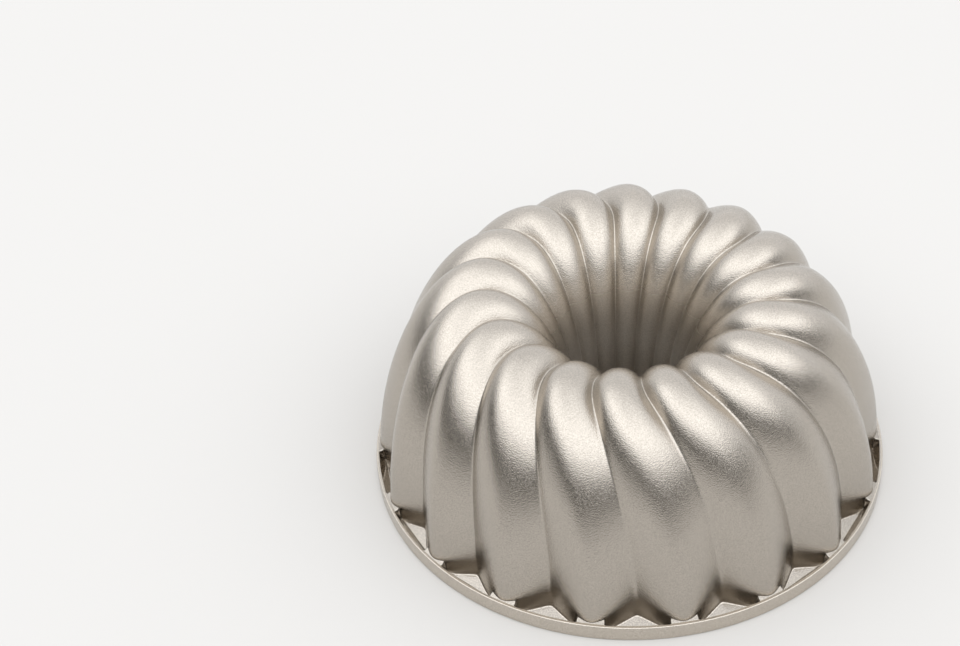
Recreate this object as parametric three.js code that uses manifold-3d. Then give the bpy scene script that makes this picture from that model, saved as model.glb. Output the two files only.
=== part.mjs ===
// Fluted tube pan: a ring-shaped baking mould cast in one piece, standing mouth down on its rim.
// Millimetres, +Z up. The origin is the centre of the rim plane, and the crown is at the top.
// Each mesh is one region of the casting. Neighbouring regions meet face to face on level planes.

import * as THREE from 'three';
import { mergeVertices } from 'three/addons/utils/BufferGeometryUtils.js';
import Module from 'manifold-3d';

const wasm = await Module();
wasm.setup();

// Casting
const WALL = 3.2;
const FLUTES = 18;

// Rim flange: a plate with a raised lip, and a pocket of V section between the feet of each two flutes.
// The plate is thinnest at the bottom of the V. The slopes of its sides are in degrees from level.
const RIM_RADIUS = 125;
const PLATE_THICKNESS = 2;
const LIP_HEIGHT = 8;
const LIP_WALL = 1.6;
const LIP_CHAMFER = 0.4;
const TOE_LAND = 2.4;
const POCKET_INNER_SLOPE = 20;
const POCKET_OUTER_SLOPE = 55;

// Zigzag edge of the mouth, in the rim plane
const MOUTH_TIP_LAND = 3.1;
const MOUTH_ZIGZAG_DEPTH = 11.5;

// Outside of the flutes: ridges and the creases between them
const RIDGE_INSET = 1.8;
const FOOT_FLUTE_DEPTH = 9.2;
const CROWN_HEIGHT = 106;
const CROWN_FLUTE_DEPTH = 7.4;
const RIDGE_CROWN_RADIUS = 70;
const CREASE_CROWN_RADIUS = 65.7;
const TUBE_CREASE_RADIUS = 25.3;
const TUBE_FLUTE_DEPTH = 2.8;
const TUBE_END_THICKNESS = 3.2;

// Fullness of the profiles: 2 is a quarter ellipse, more is squarer
const RIDGE_FULLNESS = 1.9;
const CREASE_FULLNESS = 2.3;
const TUBE_FULLNESS = 2.2;

// Swirl of the flutes, in degrees from the rim: clockwise, seen from above, is negative
const CROWN_TWIST = -16.5;
const TUBE_END_TWIST = -7.5;
const TWIST_ROUNDING = 0.8;
const WALL_TWIST_POWER = 1.63;
const TUBE_TWIST_POWER = 1.46;

// Section of a flute, in half widths: a V with a rounded nose at the foot, a round lobe at the crown
const NOSE_ROUNDING = 0.2;
const LOBE_RADIUS = 1.1;

// Height of the crown band, above the level where the wall and the tube end
const CROWN_BAND = 22;

// Facets
const COLUMNS_PER_FLUTE = 6;
const WALL_ROWS = 5;
const CROWN_ROWS = 4;
const TUBE_ROWS = 4;
const POCKET_ARC_SEGMENTS = 8;

// How far a cutting body reaches past the faces that it cuts
const CUT_MARGIN = 1;

const QUARTER = Math.PI / 2;
const RIDGE_FOOT_RADIUS = RIM_RADIUS - RIDGE_INSET;
const CREASE_FOOT_RADIUS = RIDGE_FOOT_RADIUS - FOOT_FLUTE_DEPTH;
const CROWN_LEVEL = CROWN_HEIGHT - CROWN_BAND;
const COLUMNS = FLUTES * COLUMNS_PER_FLUTE;

const { lerp, degToRad } = THREE.MathUtils;

// Profiles: a ridge and a crease line for each skin, inset 0 outside and WALL in the cavity

function ridgeLine(inset) {
  return {
    foot: RIDGE_FOOT_RADIUS - inset,
    crownRadius: RIDGE_CROWN_RADIUS,
    crownHeight: CROWN_HEIGHT - inset,
    tube: TUBE_CREASE_RADIUS - TUBE_FLUTE_DEPTH + inset,
    fullness: { wall: RIDGE_FULLNESS, tube: TUBE_FULLNESS },
  };
}

function creaseLine(inset) {
  return {
    foot: CREASE_FOOT_RADIUS - inset,
    crownRadius: CREASE_CROWN_RADIUS,
    crownHeight: CROWN_HEIGHT - CROWN_FLUTE_DEPTH - inset,
    tube: TUBE_CREASE_RADIUS + inset,
    fullness: { wall: CREASE_FULLNESS, tube: TUBE_FULLNESS },
  };
}

const OUTSIDE = { ridge: ridgeLine(0), crease: creaseLine(0) };
const CAVITY = { ridge: ridgeLine(WALL), crease: creaseLine(WALL) };

// Turn along a quarter of the profile, from 0 at the rim plane to a right angle at the crown
function turnAtLevel(line, side, level) {
  return Math.asin((level / line.crownHeight) ** (line.fullness[side] / 2));
}

function turnOfRow(line, side, row) {
  if (row.level !== undefined) return turnAtLevel(line, side, row.level);
  return lerp(turnAtLevel(line, side, CROWN_LEVEL), QUARTER, row.climb);
}

function pointOfRow(line, side, row) {
  const turn = turnOfRow(line, side, row);
  const end = side === 'wall' ? line.foot : line.tube;
  const power = 2 / line.fullness[side];
  return {
    radius: line.crownRadius + (end - line.crownRadius) * Math.cos(turn) ** power,
    height: row.level ?? line.crownHeight * Math.sin(turn) ** power,
  };
}

// Swirl of a row: it grows up the wall, bends smoothly over the crown and turns back down the tube
function twistOfRow(side, row) {
  const share = turnOfRow(OUTSIDE.crease, side, row) / QUARTER;
  const along = side === 'wall' ? share : 2 - share;
  const wallTwist = CROWN_TWIST * along ** WALL_TWIST_POWER;
  const tubeShare = Math.max(0, along - 1) ** TUBE_TWIST_POWER;
  const tubeTwist = lerp(CROWN_TWIST, TUBE_END_TWIST, tubeShare);
  return (wallTwist + tubeTwist) / 2 + Math.hypot((wallTwist - tubeTwist) / 2, TWIST_ROUNDING);
}

// Sections of a flute: the rise from crease to ridge, by the place in the flute

const NOSE_DROP = Math.hypot(1, NOSE_ROUNDING) - NOSE_ROUNDING;
const LOBE_BASE = Math.sqrt(LOBE_RADIUS ** 2 - 1);

function veeRise(place) {
  return 1 - (Math.hypot(place, NOSE_ROUNDING) - NOSE_ROUNDING) / NOSE_DROP;
}

function placeOfVeeRise(rise) {
  return Math.sqrt((NOSE_ROUNDING + (1 - rise) * NOSE_DROP) ** 2 - NOSE_ROUNDING ** 2);
}

function lobeRise(place) {
  return (Math.sqrt(LOBE_RADIUS ** 2 - place ** 2) - LOBE_BASE) / (LOBE_RADIUS - LOBE_BASE);
}

function roundnessOfRow(side, row) {
  if (side === 'tube') return 1;
  return turnOfRow(OUTSIDE.crease, side, row) / QUARTER;
}

// Place of a column in its flute: 0 on the ridge, 1 on a crease
function placeInFlute(column) {
  const half = COLUMNS_PER_FLUTE / 2;
  return Math.abs(((column + half) % COLUMNS_PER_FLUTE) - half) / half;
}

function polarPoint(radius, degrees, height) {
  const angle = degToRad(degrees);
  return new THREE.Vector3(radius * Math.cos(angle), radius * Math.sin(angle), height);
}

// One point for each column around a skin, at one row of its profile
function skinRing(skin, side, row) {
  const ridge = pointOfRow(skin.ridge, side, row);
  const crease = pointOfRow(skin.crease, side, row);
  const roundness = roundnessOfRow(side, row);
  const twist = twistOfRow(side, row);
  return Array.from({ length: COLUMNS }, (_, column) => {
    const place = placeInFlute(column);
    const rise = lerp(veeRise(place), lobeRise(place), roundness);
    const radius = lerp(crease.radius, ridge.radius, rise);
    const height = lerp(crease.height, ridge.height, rise);
    return polarPoint(radius, (360 * column) / COLUMNS + twist, height);
  });
}

// Straight-sided zigzag of the mouth in the rim plane
function mouthRing() {
  const tip = RIM_RADIUS - MOUTH_TIP_LAND;
  return Array.from({ length: COLUMNS }, (_, column) => {
    const radius = tip - MOUTH_ZIGZAG_DEPTH * placeInFlute(column);
    return polarPoint(radius, (360 * column) / COLUMNS, 0);
  });
}

function levelRows(from, to, steps) {
  return Array.from({ length: steps + 1 }, (_, i) => ({ level: lerp(from, to, i / steps) }));
}

function climbRows(steps) {
  return Array.from({ length: steps }, (_, i) => ({ climb: i / steps }));
}

// Meshes from rings of points

function meshFromRings(rings, closedLoop) {
  const positions = rings.flat().flatMap((p) => [p.x, p.y, p.z]);
  const index = [];
  const bands = closedLoop ? rings.length : rings.length - 1;
  for (let band = 0; band < bands; band += 1) {
    const low = band * COLUMNS;
    const high = ((band + 1) % rings.length) * COLUMNS;
    for (let column = 0; column < COLUMNS; column += 1) {
      const next = (column + 1) % COLUMNS;
      index.push(low + column, low + next, high + next);
      index.push(low + column, high + next, high + column);
    }
  }
  return { positions, index };
}

function geometryFrom({ positions, index }) {
  const geometry = new THREE.BufferGeometry();
  geometry.setAttribute('position', new THREE.Float32BufferAttribute(positions, 3));
  geometry.setIndex(index);
  return geometry;
}

// Hollow ring: the rings run up one skin and back down the other, and close on themselves
function hollowRing(rings) {
  return geometryFrom(meshFromRings(rings, true));
}

// Solid plug: rings stacked upwards, closed by a fan on the axis at each end
function solidPlug(rings) {
  const { positions, index } = meshFromRings(rings, false);
  const top = rings.length - 1;
  const lowCentre = rings.length * COLUMNS;
  positions.push(0, 0, rings[0][0].z, 0, 0, rings[top][0].z);
  for (let column = 0; column < COLUMNS; column += 1) {
    const next = (column + 1) % COLUMNS;
    index.push(lowCentre, next, column);
    index.push(lowCentre + 1, top * COLUMNS + column, top * COLUMNS + next);
  }
  return geometryFrom({ positions, index });
}

// Joining and cutting

function toSolid(geometry) {
  const bare = geometry.clone();
  bare.deleteAttribute('normal');
  bare.deleteAttribute('uv');
  const merged = mergeVertices(bare);
  return new wasm.Manifold(
    new wasm.Mesh({
      numProp: 3,
      vertProperties: new Float32Array(merged.attributes.position.array),
      triVerts: new Uint32Array(merged.index.array),
    }),
  );
}

function fromSolid(solid) {
  const mesh = solid.getMesh();
  return geometryFrom({ positions: Array.from(mesh.vertProperties), index: Array.from(mesh.triVerts) });
}

// Regions of the casting

function lipRing(inner) {
  const profile = [
    [inner, 0],
    [RIM_RADIUS - LIP_CHAMFER, 0],
    [RIM_RADIUS, LIP_CHAMFER],
    [RIM_RADIUS, LIP_HEIGHT - LIP_CHAMFER],
    [RIM_RADIUS - LIP_CHAMFER, LIP_HEIGHT],
    [inner, LIP_HEIGHT],
    [inner, 0],
  ].map(([radius, height]) => new THREE.Vector2(radius, height));
  return new THREE.LatheGeometry(profile, COLUMNS).rotateX(QUARTER);
}

// Outline of a pocket from above: a sector inside the lip, which leaves a land beside the toe of each flute
function pocketSector(inner, outer, halfSpan) {
  const sector = new THREE.Shape();
  sector.absarc(0, 0, outer, -halfSpan, halfSpan, false);
  sector.absarc(0, 0, inner, halfSpan, -halfSpan, true);
  return new THREE.ExtrudeGeometry(sector, {
    depth: LIP_HEIGHT + CUT_MARGIN,
    bevelEnabled: false,
    curveSegments: POCKET_ARC_SEGMENTS,
  });
}

// Straight V groove across a pocket: it falls gently from the flutes and rises steeply to the lip
function pocketGroove(inner, outer, width) {
  const fall = Math.tan(degToRad(POCKET_INNER_SLOPE));
  const rise = Math.tan(degToRad(POCKET_OUTER_SLOPE));
  const valley = outer - (LIP_HEIGHT - PLATE_THICKNESS) / rise;
  const top = LIP_HEIGHT + CUT_MARGIN;
  const section = new THREE.Shape([
    new THREE.Vector2(inner, PLATE_THICKNESS + fall * (valley - inner)),
    new THREE.Vector2(valley, PLATE_THICKNESS),
    new THREE.Vector2(outer + CUT_MARGIN, LIP_HEIGHT + rise * CUT_MARGIN),
    new THREE.Vector2(outer + CUT_MARGIN, top + rise * CUT_MARGIN),
    new THREE.Vector2(inner, top + fall * (valley - inner)),
  ]);
  return new THREE.ExtrudeGeometry(section, { depth: width, bevelEnabled: false })
    .translate(0, 0, -width / 2)
    .rotateX(QUARTER);
}

function pocket(flute, inner) {
  const outer = RIM_RADIUS - LIP_WALL;
  const endRise = (outer - TOE_LAND - CREASE_FOOT_RADIUS) / FOOT_FLUTE_DEPTH;
  const halfSpan = (Math.PI / FLUTES) * (1 - placeOfVeeRise(endRise));
  const middle = (2 * Math.PI * (flute + 0.5)) / FLUTES;
  const sector = pocketSector(inner, outer, halfSpan).rotateZ(middle);
  const groove = pocketGroove(inner, outer, 2 * outer * Math.sin(halfSpan) + CUT_MARGIN).rotateZ(middle);
  return toSolid(sector).intersect(toSolid(groove));
}

function rimFlange() {
  const inner = CREASE_FOOT_RADIUS - MOUTH_ZIGZAG_DEPTH;
  let flange = toSolid(lipRing(inner));
  for (let flute = 0; flute < FLUTES; flute += 1) {
    flange = flange.subtract(pocket(flute, inner - CUT_MARGIN));
  }

  const feet = solidPlug([
    skinRing(OUTSIDE, 'wall', { level: 0 }),
    skinRing(OUTSIDE, 'wall', { level: LIP_HEIGHT }),
  ]);

  const mouth = mouthRing();
  const throat = skinRing(CAVITY, 'wall', { level: LIP_HEIGHT });
  const reach = CUT_MARGIN / LIP_HEIGHT;
  const below = mouth.map((point, i) => point.clone().lerp(throat[i], -reach));
  const above = mouth.map((point, i) => point.clone().lerp(throat[i], 1 + reach));
  const opening = solidPlug([below, mouth, throat, above]);

  return fromSolid(flange.add(toSolid(feet)).subtract(toSolid(opening)));
}

function flutedWall() {
  const rows = levelRows(LIP_HEIGHT, CROWN_LEVEL, WALL_ROWS);
  const outside = rows.map((row) => skinRing(OUTSIDE, 'wall', row));
  const cavity = rows.map((row) => skinRing(CAVITY, 'wall', row));
  return hollowRing([...outside, ...cavity.reverse()]);
}

function crown() {
  const up = [{ level: CROWN_LEVEL }, ...climbRows(CROWN_ROWS).slice(1)];
  const arch = (skin) => [
    ...up.map((row) => skinRing(skin, 'wall', row)),
    skinRing(skin, 'wall', { climb: 1 }),
    ...[...up].reverse().map((row) => skinRing(skin, 'tube', row)),
  ];
  return hollowRing([...arch(OUTSIDE), ...arch(CAVITY).reverse()]);
}

function centreTube() {
  const rows = levelRows(TUBE_END_THICKNESS, CROWN_LEVEL, TUBE_ROWS);
  const hollow = rows.map((row) => skinRing(OUTSIDE, 'tube', row));
  const cavity = rows.map((row) => skinRing(CAVITY, 'tube', row));
  return hollowRing([...cavity, ...hollow.reverse()]);
}

function tubeEnd() {
  const rows = levelRows(0, TUBE_END_THICKNESS, 1);
  return solidPlug(rows.map((row) => skinRing(CAVITY, 'tube', row)));
}

// Finish: bare cast metal on the flat tube end, a warm metallic coat elsewhere

const COAT = { color: 0xa59b8c, roughness: 0.35, metalness: 0.9 };
const BARE = { color: 0xc4bdb5, roughness: 0.45, metalness: 0.9 };

const part = new THREE.Group();

function addRegion(name, geometry, finish) {
  geometry.computeVertexNormals();
  const mesh = new THREE.Mesh(geometry, new THREE.MeshStandardMaterial(finish));
  mesh.name = name;
  part.add(mesh);
}

addRegion('rim_flange', rimFlange(), COAT);
addRegion('fluted_wall', flutedWall(), COAT);
addRegion('crown', crown(), COAT);
addRegion('centre_tube', centreTube(), COAT);
addRegion('tube_end', tubeEnd(), BARE);

export default part;
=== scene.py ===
# Fluted tube pan: fine skins, finishes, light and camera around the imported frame. Metres, +Z up.

import math
from dataclasses import dataclass

import bpy
import numpy as np
from mathutils import Matrix, Vector


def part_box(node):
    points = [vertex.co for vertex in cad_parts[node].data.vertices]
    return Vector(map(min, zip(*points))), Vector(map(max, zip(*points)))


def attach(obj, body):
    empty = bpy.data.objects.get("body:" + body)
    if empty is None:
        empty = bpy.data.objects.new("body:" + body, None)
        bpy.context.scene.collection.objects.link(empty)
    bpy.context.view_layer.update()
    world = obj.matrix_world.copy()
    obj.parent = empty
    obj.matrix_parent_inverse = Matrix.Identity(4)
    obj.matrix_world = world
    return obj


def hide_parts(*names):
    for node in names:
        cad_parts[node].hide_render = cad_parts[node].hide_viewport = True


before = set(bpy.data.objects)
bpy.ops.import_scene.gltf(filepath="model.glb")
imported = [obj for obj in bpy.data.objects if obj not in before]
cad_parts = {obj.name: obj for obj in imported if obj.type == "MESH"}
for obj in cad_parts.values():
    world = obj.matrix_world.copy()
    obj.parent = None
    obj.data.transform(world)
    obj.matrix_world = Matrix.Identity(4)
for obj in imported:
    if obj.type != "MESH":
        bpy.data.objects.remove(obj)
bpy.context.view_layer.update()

# Sizes read from the frame
RIM_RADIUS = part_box("rim_flange")[1].x
LIP_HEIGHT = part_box("rim_flange")[1].z
CROWN_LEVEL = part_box("crown")[0].z
CROWN_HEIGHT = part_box("crown")[1].z
TUBE_END_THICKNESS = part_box("tube_end")[1].z

# Casting
WALL = 0.0032
FLUTES = 18

# Rim flange: the pockets have a V section, and the plate is thinnest at its bottom
PLATE_THICKNESS = 0.0019
LIP_WALL = 0.0016
LIP_ROUND = 0.0005
TOE_LAND = 0.0024
TOE_STEP = 0.0001
TOE_SLOPE = math.radians(25)
POCKET_INNER_SLOPE = math.radians(20)
POCKET_OUTER_SLOPE = math.radians(59)
POCKET_GABLE = 0.0004
POCKET_FLOOR_LEAST = 0.25
POCKET_END_WIDTH = 0.05
POCKET_FILLET = 0.0007
VALLEY_FILLET = 0.0004
MOUTH_TIP_LAND = 0.0031
MOUTH_ZIGZAG_DEPTH = 0.0115
MOUTH_BEVEL = 0.0003
SKIN_ABOVE_LIP = 0.0016
SKIN_START = LIP_HEIGHT + SKIN_ABOVE_LIP

# Outside of the flutes: ridges and the creases between them
RIDGE_INSET = 0.0018
FOOT_FLUTE_DEPTH = 0.0092
CROWN_FLUTE_DEPTH = 0.0074
RIDGE_CROWN_RADIUS = 0.070
CREASE_CROWN_RADIUS = 0.0657
TUBE_CREASE_RADIUS = 0.0253
TUBE_FLUTE_DEPTH = 0.0028
TUBE_END_BEVEL = 0.0006
TUBE_END_SHARP = math.radians(30)

# Fullness of the profiles: 2 is a quarter ellipse, more is squarer
RIDGE_FULLNESS = 1.9
CREASE_FULLNESS = 2.3
TUBE_FULLNESS = 2.2

# Swirl of the flutes, from the rim: clockwise, seen from above, is negative
CROWN_TWIST = math.radians(-16.5)
TUBE_END_TWIST = math.radians(-7.5)
TWIST_ROUNDING = math.radians(0.8)
WALL_TWIST_POWER = 1.63
TUBE_TWIST_POWER = 1.46

# Section of a flute, in half widths: a V with a rounded nose at the foot, a round lobe at the crown
NOSE_ROUNDING = 0.2
LOBE_RADIUS = 1.1
CREASE_ROUNDING = 0.07

# Fineness of the skins
HALF_FLUTE_COLUMNS = 22
WALL_ROWS = 26
CROWN_ROWS = 18
TUBE_ROWS = 20
CAVITY_DENSITY = 0.5
FILLET_ROWS = 4
CORNER_ROWS = FILLET_ROWS + 1
LARGEST_CUT = 0.45
FACE_SHARES = (0.34, 0.67, 1)
THROAT_ROWS = 4
QUARTER = math.pi / 2

# Corners of the flange's section, counted from the skin
FOOT_CORNER = 1
LIP_FOOT_CORNER = 3
LIP_TOP_CORNER = 4

# Crowding of the columns at the ends of the pockets and at the creases, and how wide it reaches
END_CROWDING = 6
END_CROWD_WIDTH = 0.04
CREASE_CROWDING = 3
CREASE_CROWD_WIDTH = 0.08
CROWDING_STEPS = 2000

# Finishes: darker and lighter flakes of each, flakes per metre, and depth of their relief
COAT_TONES = ((0.384, 0.352, 0.309), (0.516, 0.472, 0.417))
# The pockets' coat is the same coat painted darker: painted shade in the pockets' recesses and corners. It is
# also smoother.
POCKET_SHADED_TONES = ((0.31, 0.284, 0.250), (0.44, 0.403, 0.355))
# The lip's outer band has a lighter copy of the coat: painted light, standing in for the bright floor that
# the band reflects.
LIP_LIT_TONES = ((0.47, 0.430, 0.378), (0.67, 0.614, 0.541))
LINING_TONES = ((0.41, 0.36, 0.27), (0.56, 0.49, 0.385))
BARE_TONES = ((0.56, 0.525, 0.50), (0.66, 0.62, 0.59))
COAT_GRAIN = 1900
BARE_GRAIN = 1500
COAT_RELIEF = 0.000125
POCKET_RELIEF = 0.00002
LIP_RELIEF = 0.00010
LINING_RELIEF = 0.00014
BARE_RELIEF = 0.00005
FLAKE_DETAIL = 2
FLAKE_RANGE = (0.3, 0.7)

# Gloss of the finishes: it drifts a little in clouds, and in the tube it fades between two heights
COAT_ROUGHNESS = 0.20
POCKET_ROUGHNESS = 0.09
LINING_ROUGHNESS = 0.25
BARE_ROUGHNESS = 0.42
CLOUD_SIZE = 30
CLOUD_DETAIL = 3
CLOUD_ROUGHNESS = 0.03
DULL_HEIGHTS = (0.048, 0.080)
DULL_ROUGHNESS = 0.57

# Photograph's frame and the camera that was fitted to it
PHOTO_WIDTH = 960
PHOTO_HEIGHT = 646
AXIS_PIXEL = (626.6, 418.5)
FOCAL_PIXELS = 1991
SENSOR_WIDTH = 36
CLIP_START = 0.05
CLIP_END = 50
CAMERA_PLACE = Vector((-0.0003, -0.7183, 0.6960))
CAMERA_PITCH = math.radians(43.26)
CAMERA_TURN = math.radians(-2.2)

# Studio: the dome's brightness by height, as shares of its strength, and an even backdrop behind
DOME_STRENGTH = 2.3
DOME_SHARES = ((0.0, 0.055), (0.17, 0.055), (0.62, 1.0), (0.82, 0.98), (1.0, 0.78))
DIM_SHARES = 2
DOME_UP = (0.08, 0.03, 1)
BACKDROP_SHARE = 0.52
BACKDROP_SIDE = (0.22, 0.975, 0)
BACKDROP_BLEND = (-0.22, 0.82)
LIGHT_TINT = (0.985, 1.0, 1.025)
DIM_TINT = (1.03, 0.985, 0.92)
FLOOR_COLOR = (0.572, 0.559, 0.539)
FLOOR_ROUGHNESS = 0.9
FLOOR_SPECULAR = 0.1
FLOOR_HALF_SIZE = 6.0
FLOOR_LEVEL = -0.0001


# Profiles of the two skins


@dataclass
class Line:
    """Quarter of a superellipse from the rim plane, at radius end, up to the crown."""

    end: float
    crown_radius: float
    crown_height: float
    fullness: float

    def turn_at(self, level):
        return np.arcsin((level / self.crown_height) ** (self.fullness / 2))

    def climb_rate(self, turn):
        power = 2 / self.fullness
        return self.crown_height * power * np.sin(turn) ** (power - 1) * np.cos(turn)

    def radius(self, turn):
        share = np.clip(np.cos(turn), 0, 1) ** (2 / self.fullness)
        return self.crown_radius + (self.end - self.crown_radius) * share

    def height(self, turn):
        return self.crown_height * np.sin(turn) ** (2 / self.fullness)


def skin_lines(inset):
    """Ridge and crease lines of the wall and the tube, inset 0 outside and WALL in the cavity."""
    ridge_foot = RIM_RADIUS - RIDGE_INSET - inset
    ridge_height = CROWN_HEIGHT - inset
    crease_height = ridge_height - CROWN_FLUTE_DEPTH
    tube = TUBE_CREASE_RADIUS + inset
    return {
        "wall": (
            Line(ridge_foot, RIDGE_CROWN_RADIUS, ridge_height, RIDGE_FULLNESS),
            Line(ridge_foot - FOOT_FLUTE_DEPTH, CREASE_CROWN_RADIUS, crease_height, CREASE_FULLNESS),
        ),
        "tube": (
            Line(tube - TUBE_FLUTE_DEPTH, RIDGE_CROWN_RADIUS, ridge_height, TUBE_FULLNESS),
            Line(tube, CREASE_CROWN_RADIUS, crease_height, TUBE_FULLNESS),
        ),
    }


OUTSIDE = skin_lines(0)
CAVITY = skin_lines(WALL)


def climb_turns(lines, climb):
    """Turns of both lines from the crown level, where they rise alike, to the crown."""
    starts = [line.turn_at(CROWN_LEVEL) for line in lines]
    rates = [line.climb_rate(start) for line, start in zip(lines, starts)]
    shared = sum(rate * (QUARTER - start) for rate, start in zip(rates, starts)) / 2
    turns = []
    for start, rate in zip(starts, rates):
        first = shared / rate
        turns.append(start + first * climb + (QUARTER - start - first) * climb**2)
    return turns


def row_turns(lines, row):
    kind, value = row
    if kind == "level":
        return [line.turn_at(value) for line in lines]
    return climb_turns(lines, value)


def twist_at(along):
    """Swirl at a place along the profile: 0 at the rim, 1 at the crown, 2 at the end of the tube."""
    wall = CROWN_TWIST * along**WALL_TWIST_POWER
    back = max(0, along - 1) ** TUBE_TWIST_POWER
    tube = CROWN_TWIST + (TUBE_END_TWIST - CROWN_TWIST) * back
    return (wall + tube) / 2 + math.hypot((wall - tube) / 2, TWIST_ROUNDING)


# Section of a flute


NOSE_DROP = math.hypot(1, NOSE_ROUNDING) - NOSE_ROUNDING
LOBE_BASE = math.sqrt(LOBE_RADIUS**2 - 1)


def vee_rise(place):
    return 1 - (np.hypot(place, NOSE_ROUNDING) - NOSE_ROUNDING) / NOSE_DROP


def place_of_vee_rise(rise):
    return math.sqrt((NOSE_ROUNDING + (1 - rise) * NOSE_DROP) ** 2 - NOSE_ROUNDING**2)


def lobe_rise(place):
    return (np.sqrt(LOBE_RADIUS**2 - place**2) - LOBE_BASE) / (LOBE_RADIUS - LOBE_BASE)


def soft_place(place):
    """Place in the flute with its crease rounded off."""
    gap = np.hypot(1 - place, CREASE_ROUNDING) - CREASE_ROUNDING
    return 1 - gap / (math.hypot(1, CREASE_ROUNDING) - CREASE_ROUNDING)


# Columns around the pan, closer together at the creases and at the ends of the pockets

CREASE_FOOT_RADIUS = RIM_RADIUS - RIDGE_INSET - FOOT_FLUTE_DEPTH
LIP_INNER_RADIUS = RIM_RADIUS - LIP_WALL
POCKET_END = place_of_vee_rise((LIP_INNER_RADIUS - TOE_LAND - CREASE_FOOT_RADIUS) / FOOT_FLUTE_DEPTH)


def half_flute_places():
    """Places from the ridge, 0, to the crease, 1."""
    fine = np.linspace(0, 1, CROWDING_STEPS + 1)
    at_end = np.exp(-(((fine - POCKET_END + POCKET_END_WIDTH / 2) / END_CROWD_WIDTH) ** 2))
    at_crease = np.exp(-(((1 - fine) / CREASE_CROWD_WIDTH) ** 2))
    density = 1 + END_CROWDING * at_end + CREASE_CROWDING * at_crease
    count = np.concatenate([[0], np.cumsum((density[1:] + density[:-1]) / 2)])
    return np.interp(np.linspace(0, count[-1], HALF_FLUTE_COLUMNS + 1), count, fine)


half = half_flute_places()
one_flute = np.concatenate([half[:-1], 2 - half[:0:-1]])
PLACE = np.tile(1 - np.abs(1 - one_flute), FLUTES)
ANGLE = np.concatenate([(one_flute / 2 + flute) * math.tau / FLUTES for flute in range(FLUTES)])
COLUMNS = len(ANGLE)


def polar(radius, angle, height):
    radius, angle, height = np.broadcast_arrays(radius, angle, height)
    return np.stack([radius * np.cos(angle), radius * np.sin(angle), height], axis=-1)


def section_rise(roundness):
    place = soft_place(PLACE)
    return vee_rise(place) * (1 - roundness) + lobe_rise(place) * roundness


def skin_row(lines, side, row):
    """One ring of points on a skin."""
    share = row_turns(OUTSIDE[side], row)[1] / QUARTER
    along = share if side == "wall" else 2 - share
    rise = section_rise(min(1, along))
    ridge, crease = lines[side]
    ridge_turn, crease_turn = row_turns(lines[side], row)
    radius = crease.radius(crease_turn) * (1 - rise) + ridge.radius(ridge_turn) * rise
    height = crease.height(crease_turn) * (1 - rise) + ridge.height(ridge_turn) * rise
    return polar(radius, ANGLE + twist_at(along), height)


def level_rows(low, high, count):
    return [("level", level) for level in np.linspace(low, high, count + 1)]


def climb_rows(count):
    return [("climb", climb) for climb in np.linspace(0, 1, count + 1)[1:]]


def skin_grid(lines, density):
    """All rings of a skin from the lip over the crown to the tube end, and where its regions begin."""
    wall_count = round(WALL_ROWS * density)
    crown_count = round(CROWN_ROWS * density)
    tube_count = round(TUBE_ROWS * density)
    wall = level_rows(SKIN_START, CROWN_LEVEL, wall_count)
    climb = climb_rows(crown_count)
    tube = level_rows(TUBE_END_THICKNESS, CROWN_LEVEL, tube_count)
    rings = [skin_row(lines, "wall", row) for row in wall + climb]
    rings += [skin_row(lines, "tube", row) for row in climb[-2::-1] + tube[::-1]]
    ends = (wall_count, wall_count + 2 * crown_count, wall_count + 2 * crown_count + tube_count)
    return np.array(rings), ends


def grid_normals(grid, outward):
    """Smooth normals of a grid of rings, from the points around each point."""
    around = np.roll(grid, -1, axis=1) - np.roll(grid, 1, axis=1)
    along = np.gradient(grid, axis=0)
    normals = np.cross(around, along) * outward
    return normals / np.linalg.norm(normals, axis=-1, keepdims=True)


outer_grid, outer_ends = skin_grid(OUTSIDE, 1)
inner_grid, inner_ends = skin_grid(CAVITY, CAVITY_DENSITY)
outer_normals = grid_normals(outer_grid, 1)
inner_normals = grid_normals(inner_grid, -1)


# Finishes


def noise(nodes, links, vector, scale, detail):
    node = nodes.new("ShaderNodeTexNoise")
    node.inputs["Scale"].default_value = scale
    node.inputs["Detail"].default_value = detail
    links.new(vector, node.inputs["Vector"])
    return node.outputs["Fac"]


def map_range(nodes, links, value, source, target):
    node = nodes.new("ShaderNodeMapRange")
    node.inputs["From Min"].default_value, node.inputs["From Max"].default_value = source
    node.inputs["To Min"].default_value, node.inputs["To Max"].default_value = target
    links.new(value, node.inputs["Value"])
    return node


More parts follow.
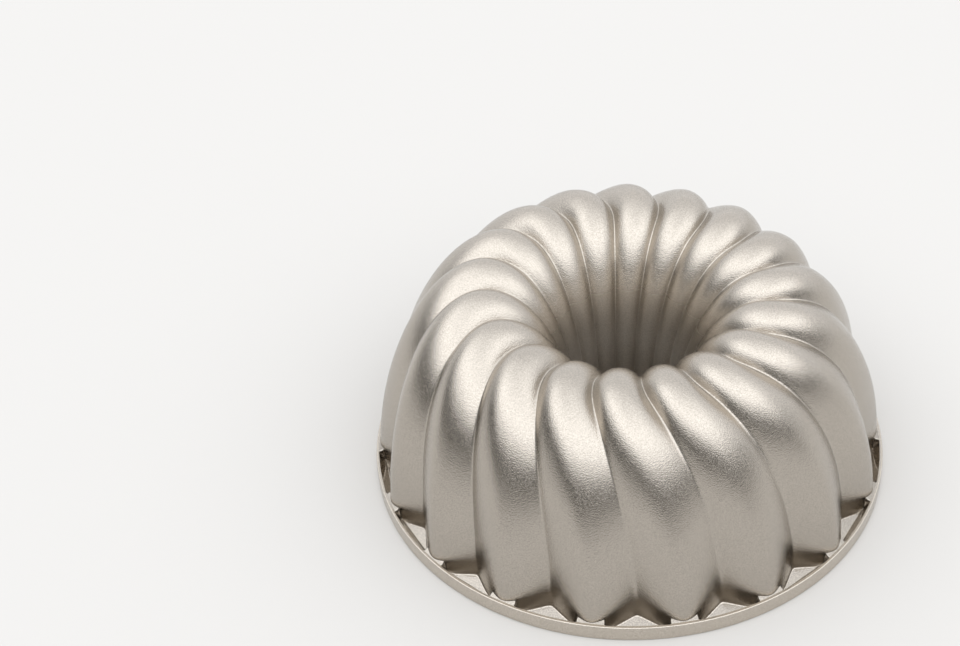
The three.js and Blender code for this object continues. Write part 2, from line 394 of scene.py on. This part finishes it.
def metal_finish(name, tones, roughness, grain, relief, dull=False):
    """Cast metal under a thin coat: fine flakes tint it and roughen it, and it may turn dull lower down."""
    material = bpy.data.materials.new(name)
    material.use_nodes = True
    nodes = material.node_tree.nodes
    links = material.node_tree.links
    shader = nodes["Principled BSDF"]
    shader.inputs["Metallic"].default_value = 1
    place = nodes.new("ShaderNodeTexCoord").outputs["Object"]
    flakes = noise(nodes, links, place, grain, FLAKE_DETAIL)

    mix = nodes.new("ShaderNodeMix")
    mix.data_type = "RGBA"
    mix.inputs["A"].default_value = (*tones[0], 1)
    mix.inputs["B"].default_value = (*tones[1], 1)
    tone = map_range(nodes, links, flakes, FLAKE_RANGE, (0, 1))
    links.new(tone.outputs["Result"], mix.inputs["Factor"])
    links.new(mix.outputs["Result"], shader.inputs["Base Color"])

    if dull:
        split = nodes.new("ShaderNodeSeparateXYZ")
        links.new(place, split.inputs["Vector"])
        gloss = map_range(nodes, links, split.outputs["Z"], DULL_HEIGHTS, (DULL_ROUGHNESS, roughness))
    else:
        clouds = noise(nodes, links, place, grain / CLOUD_SIZE, CLOUD_DETAIL)
        span = (roughness - CLOUD_ROUGHNESS, roughness + CLOUD_ROUGHNESS)
        gloss = map_range(nodes, links, clouds, FLAKE_RANGE, span)
    links.new(gloss.outputs["Result"], shader.inputs["Roughness"])

    bump = nodes.new("ShaderNodeBump")
    bump.inputs["Strength"].default_value = 1
    bump.inputs["Distance"].default_value = relief
    links.new(flakes, bump.inputs["Height"])
    links.new(bump.outputs["Normal"], shader.inputs["Normal"])
    return material


FINISHES = (
    metal_finish("outside_coat", COAT_TONES, COAT_ROUGHNESS, COAT_GRAIN, COAT_RELIEF),
    metal_finish("inside_coat", LINING_TONES, LINING_ROUGHNESS, COAT_GRAIN, LINING_RELIEF),
    metal_finish("bare_metal", BARE_TONES, BARE_ROUGHNESS, BARE_GRAIN, BARE_RELIEF),
    metal_finish("tube_coat", COAT_TONES, COAT_ROUGHNESS, COAT_GRAIN, COAT_RELIEF, dull=True),
    # Darker copy of the coat for the pockets: painted shade in the recesses
    metal_finish("pocket_coat_painted_shade", POCKET_SHADED_TONES, POCKET_ROUGHNESS, COAT_GRAIN, POCKET_RELIEF),
    # Lighter copy of the coat for the lip's outer band: painted light from the floor it reflects
    metal_finish("lip_coat_painted_light", LIP_LIT_TONES, COAT_ROUGHNESS, COAT_GRAIN, LIP_RELIEF),
)
COAT, LINING, BARE, DULL, SMOOTH_SHADED, LIT_LIP_BAND = range(len(FINISHES))


# Pieces made from rings of points


def quads_between(ring_count, closed):
    """Corner numbers of the faces between neighbouring rings."""
    low = np.arange(ring_count if closed else ring_count - 1)[:, None]
    high = (low + 1) % ring_count
    column = np.arange(COLUMNS)[None, :]
    after = (column + 1) % COLUMNS
    corners = [low * COLUMNS + column, low * COLUMNS + after, high * COLUMNS + after, high * COLUMNS + column]
    return np.stack(np.broadcast_arrays(*corners), axis=-1).reshape(-1, 4)


def new_piece(name, points, faces, slots, node):
    """Mesh object that stands for one node of the frame. Each face has the number of its finish."""
    mesh = bpy.data.meshes.new(name)
    mesh.from_pydata(points.reshape(-1, 3).tolist(), [], [list(face) for face in faces])
    for finish in FINISHES:
        mesh.materials.append(finish)
    mesh.polygons.foreach_set("material_index", np.asarray(slots, dtype=np.int32))
    mesh.shade_smooth()
    mesh.update()
    piece = bpy.data.objects.new(name, mesh)
    bpy.context.scene.collection.objects.link(piece)
    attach(piece, "root")
    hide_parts(node)
    return piece


def shell_piece(name, node, rings, normals, cuts, finishes):
    """Closed shell: rings up one skin and back down the other. Bands in cuts are flat cut faces."""
    count = len(rings)
    faces = quads_between(count, True)
    bands = np.repeat(np.arange(count), COLUMNS)
    piece = new_piece(name, rings, faces.tolist(), finishes[bands], node)
    corner = normals.reshape(-1, 3)[faces.reshape(-1)]
    for band, direction in cuts.items():
        corner[np.repeat(bands == band, 4)] = (0, 0, direction)
    piece.data.normals_split_custom_set(corner.tolist())


def skin_shell(name, node, outer_span, inner_span, cut_ends, coat):
    """One region of the two skins as a closed shell, from its first ring to its last."""
    outer = slice(outer_span[0], outer_span[1] + 1)
    inner = slice(inner_span[0], inner_span[1] + 1)
    rings = np.concatenate([outer_grid[outer], inner_grid[inner][::-1]])
    normals = np.concatenate([outer_normals[outer], inner_normals[inner][::-1]])
    outer_count = outer_span[1] - outer_span[0] + 1
    finishes = np.full(len(rings), LINING)
    finishes[:outer_count] = coat
    cuts = {outer_count - 1: cut_ends[1], len(rings) - 1: cut_ends[0]}
    shell_piece(name, node, rings, normals, cuts, finishes)


UP, DOWN = 1, -1
skin_shell("wall_skin", "fluted_wall", (0, outer_ends[0]), (0, inner_ends[0]), (DOWN, UP), COAT)
skin_shell("crown_skin", "crown", outer_ends[:2], inner_ends[:2], (DOWN, DOWN), COAT)
skin_shell("tube_skin", "centre_tube", outer_ends[1:], inner_ends[1:], (UP, DOWN), DULL)


# Rim flange


def smooth_step(value):
    value = np.clip(value, 0, 1)
    return value**2 * (3 - 2 * value)


def skin_radius(height):
    """Radius of the outside skin at a height for each column, below the lip."""
    ridge, crease = OUTSIDE["wall"]
    rise = section_rise(crease.turn_at(height) / QUARTER)
    return crease.radius(crease.turn_at(height)) * (1 - rise) + ridge.radius(ridge.turn_at(height)) * rise


def pocket_level(radius):
    """Height of a pocket's V at a radius for each column, and the radius of its bottom."""
    valley = LIP_INNER_RADIUS - (LIP_HEIGHT - PLATE_THICKNESS) / math.tan(POCKET_OUTER_SLOPE)
    reach = radius * np.cos((1 - PLACE) * math.pi / FLUTES) - valley
    gable = POCKET_GABLE * np.clip((PLACE - POCKET_END) / (1 - POCKET_END), 0, 1)
    inner_side = gable - reach * math.tan(POCKET_INNER_SLOPE)
    outer_side = reach * math.tan(POCKET_OUTER_SLOPE)
    return PLATE_THICKNESS + np.maximum(inner_side, outer_side), valley


def section_corners():
    """Corners of the flange's section for each column, from the skin over pocket and lip to the rim face."""
    lip_level = LIP_HEIGHT - TOE_STEP
    inside = smooth_step((PLACE - POCKET_END + POCKET_END_WIDTH) / POCKET_END_WIDTH)

    def level(radius):
        land = lip_level + (LIP_INNER_RADIUS - radius) * math.tan(TOE_SLOPE)
        return land + (pocket_level(radius)[0] - land) * inside

    foot = skin_radius(level(skin_radius(LIP_HEIGHT)))
    valley = pocket_level(foot)[1] / np.cos((1 - PLACE) * math.pi / FLUTES)
    valley = np.maximum(valley, foot + (LIP_INNER_RADIUS - foot) * POCKET_FLOOR_LEAST)
    lip = np.full(COLUMNS, LIP_INNER_RADIUS)
    lip_foot = np.minimum(level(lip), lip_level - (LIP_ROUND - TOE_STEP) * inside)
    corners = [
        (skin_radius(SKIN_START), SKIN_START),
        (foot, level(foot)),
        (valley, level(valley)),
        (lip, lip_foot),
        (lip, LIP_HEIGHT),
        (RIM_RADIUS, LIP_HEIGHT),
        (RIM_RADIUS, 0),
        (RIM_RADIUS - LIP_WALL, 0),
    ]
    sizes = (POCKET_FILLET, VALLEY_FILLET, VALLEY_FILLET, LIP_ROUND, LIP_ROUND, LIP_ROUND)
    return [np.stack(np.broadcast_arrays(*corner, PLACE)[:2], axis=-1) for corner in corners], sizes


def rounded_path(corners, sizes):
    """Path through the corners, with all but its two ends rounded off."""
    path = [corners[0]]
    for before, corner, after, size in zip(corners, corners[1:], corners[2:], sizes):
        arrive = before - corner
        leave = after - corner
        lengths = [np.linalg.norm(side, axis=-1, keepdims=True) for side in (arrive, leave)]
        cut = np.minimum(size, LARGEST_CUT * np.minimum(*lengths))
        start = corner + arrive / lengths[0] * cut
        end = corner + leave / lengths[1] * cut
        for step in np.linspace(0, 1, FILLET_ROWS + 1):
            low = start + (corner - start) * step
            high = corner + (end - corner) * step
            path.append(low + (high - low) * step)
    return path


def flange_rings():
    """Rings around the flange's section: down the skin, over pocket and lip, under the rim, up the cavity."""
    twist = twist_at(OUTSIDE["wall"][1].turn_at(SKIN_START) / QUARTER)
    angle = ANGLE + twist
    rings = [polar(point[:, 0], angle, point[:, 1]) for point in rounded_path(*section_corners())]
    coat_rows = len(rings)
    mouth = RIM_RADIUS - MOUTH_TIP_LAND - MOUTH_ZIGZAG_DEPTH * PLACE
    for share in FACE_SHARES:
        radius = RIM_RADIUS - LIP_ROUND + (mouth + MOUTH_BEVEL - RIM_RADIUS + LIP_ROUND) * share
        rings.append(polar(radius, angle, 0))
    edge = polar(mouth, angle, MOUTH_BEVEL)
    throat = inner_grid[0]
    rings += [edge + (throat - edge) * share for share in np.linspace(0, 1, THROAT_ROWS + 1)]
    return np.array(rings), coat_rows


def area_normals(points, faces):
    """Smooth normals that follow the large faces, so that only the narrow rounds look round."""
    corners = points[faces]
    across = np.cross(corners[:, 2] - corners[:, 0], corners[:, 3] - corners[:, 1])
    normals = np.zeros_like(points)
    for corner in range(4):
        np.add.at(normals, faces[:, corner], across)
    return normals / np.linalg.norm(normals, axis=-1, keepdims=True)


def make_flange():
    rings, coat_rows = flange_rings()
    count = len(rings)
    faces = quads_between(count, True)[:, ::-1]
    bands = np.repeat(np.arange(count), COLUMNS)
    pocket = slice(FOOT_CORNER * CORNER_ROWS, LIP_FOOT_CORNER * CORNER_ROWS)
    lip_band = slice(LIP_TOP_CORNER * CORNER_ROWS + 1, coat_rows - 1)
    rim_face = slice(coat_rows - 1, coat_rows + len(FACE_SHARES))
    finishes = np.full(count, LINING)
    finishes[: coat_rows - 1] = COAT
    # Pockets get the darker, smoother coat: painted shade in the recesses
    finishes[pocket] = SMOOTH_SHADED
    # The lip's outer band gets the lighter coat: painted light
    finishes[lip_band] = LIT_LIP_BAND
    finishes[rim_face] = BARE
    piece = new_piece("flange_skin", rings, faces.tolist(), finishes[bands], "rim_flange")
    normals = area_normals(rings.reshape(-1, 3), faces)
    normals[:COLUMNS] = outer_normals[0]
    normals[-COLUMNS:] = inner_normals[0]
    corner = normals[faces.reshape(-1)]
    joint = np.repeat(bands == count - 1, 4)
    corner[joint] = (0, 0, 1)
    piece.data.normals_split_custom_set(corner.tolist())


make_flange()


# Flat disc that closes the tube


def make_tube_end():
    edge = inner_grid[-1]
    foot = skin_row(CAVITY, "tube", ("level", TUBE_END_BEVEL))
    face = skin_row(CAVITY, "tube", ("level", 0.0)) * (1 - TUBE_END_BEVEL / TUBE_CREASE_RADIUS)
    rings = [edge * (1, 1, 0) * share + (0, 0, TUBE_END_THICKNESS) for share in FACE_SHARES[:-1]]
    rings += [edge, foot]
    rings += [face * share for share in FACE_SHARES[::-1]]
    rings = np.array(rings)
    count = len(rings)
    points = np.concatenate([rings.reshape(-1, 3), [(0, 0, TUBE_END_THICKNESS), (0, 0, 0)]])
    faces = quads_between(count, False)[:, ::-1].tolist()
    column = np.arange(COLUMNS)
    after = (column + 1) % COLUMNS
    top, bottom = count * COLUMNS, count * COLUMNS + 1
    last = (count - 1) * COLUMNS
    faces += np.stack([np.full(COLUMNS, top), column, after], axis=-1).tolist()
    faces += np.stack([np.full(COLUMNS, bottom), last + after, last + column], axis=-1).tolist()
    bands = np.repeat([DULL, DULL, LINING, BARE, BARE, BARE], COLUMNS)
    slots = np.concatenate([bands, np.full(COLUMNS, DULL), np.full(COLUMNS, BARE)])
    piece = new_piece("tube_end_skin", points, faces, slots, "tube_end")
    piece.data.set_sharp_from_angle(angle=TUBE_END_SHARP)


make_tube_end()


# Stage: pale floor, soft studio light and camera


def make_floor():
    mesh = bpy.data.meshes.new("floor")
    size = FLOOR_HALF_SIZE
    corners = [(x * size, y * size, FLOOR_LEVEL) for x, y in ((-1, -1), (1, -1), (1, 1), (-1, 1))]
    mesh.from_pydata(corners, [], [(0, 1, 2, 3)])
    material = bpy.data.materials.new("floor")
    material.use_nodes = True
    shader = material.node_tree.nodes["Principled BSDF"]
    shader.inputs["Base Color"].default_value = (*FLOOR_COLOR, 1)
    shader.inputs["Roughness"].default_value = FLOOR_ROUGHNESS
    shader.inputs["Specular IOR Level"].default_value = FLOOR_SPECULAR
    mesh.materials.append(material)
    floor = bpy.data.objects.new("floor", mesh)
    bpy.context.scene.collection.objects.link(floor)


def share_along(nodes, links, direction, axis):
    """How far a direction points along an axis."""
    node = nodes.new("ShaderNodeVectorMath")
    node.operation = "DOT_PRODUCT"
    node.inputs[1].default_value = axis
    links.new(direction, node.inputs[0])
    return node.outputs["Value"]


def tinted(share, tint):
    return (*(share * part for part in tint), 1)


def make_world():
    """Studio around the pan: a bright dome with a dim horizon in front, and an even backdrop behind."""
    world = bpy.data.worlds.new("studio")
    world.use_nodes = True
    bpy.context.scene.world = world
    nodes = world.node_tree.nodes
    links = world.node_tree.links
    direction = nodes.new("ShaderNodeTexCoord").outputs["Generated"]

    dome = nodes.new("ShaderNodeValToRGB")
    dome.color_ramp.interpolation = "EASE"
    stops = dome.color_ramp.elements
    for place, _ in DOME_SHARES[1:-1]:
        stops.new(place)
    for number, (_, share) in enumerate(DOME_SHARES):
        stops[number].color = tinted(share, DIM_TINT if number < DIM_SHARES else LIGHT_TINT)
    links.new(share_along(nodes, links, direction, DOME_UP), dome.inputs["Fac"])

    side = share_along(nodes, links, direction, BACKDROP_SIDE)
    behind = map_range(nodes, links, side, BACKDROP_BLEND, (0, 1))
    behind.interpolation_type = "SMOOTHSTEP"

    mix = nodes.new("ShaderNodeMix")
    mix.data_type = "RGBA"
    links.new(behind.outputs["Result"], mix.inputs["Factor"])
    links.new(dome.outputs["Color"], mix.inputs["A"])
    mix.inputs["B"].default_value = tinted(BACKDROP_SHARE, LIGHT_TINT)
    links.new(mix.outputs["Result"], nodes["Background"].inputs["Color"])
    nodes["Background"].inputs["Strength"].default_value = DOME_STRENGTH


def make_camera():
    data = bpy.data.cameras.new("camera")
    data.sensor_width = SENSOR_WIDTH
    data.lens = FOCAL_PIXELS * SENSOR_WIDTH / PHOTO_WIDTH
    data.clip_start = CLIP_START
    data.clip_end = CLIP_END
    camera = bpy.data.objects.new("camera", data)
    bpy.context.scene.collection.objects.link(camera)
    turn = Matrix.Rotation(CAMERA_TURN, 4, "Z")
    tilt = Matrix.Rotation(QUARTER - CAMERA_PITCH, 4, "X")
    right = (AXIS_PIXEL[0] - PHOTO_WIDTH / 2) / FOCAL_PIXELS
    below = (AXIS_PIXEL[1] - PHOTO_HEIGHT / 2) / FOCAL_PIXELS
    aim = Vector((right, -below, -1)).rotation_difference(Vector((0, 0, -1)))
    camera.matrix_world = turn @ Matrix.Translation(CAMERA_PLACE) @ tilt @ aim.to_matrix().to_4x4()
    bpy.context.scene.camera = camera


make_floor()
make_world()
make_camera()
bpy.context.scene.view_settings.view_transform = "Standard"
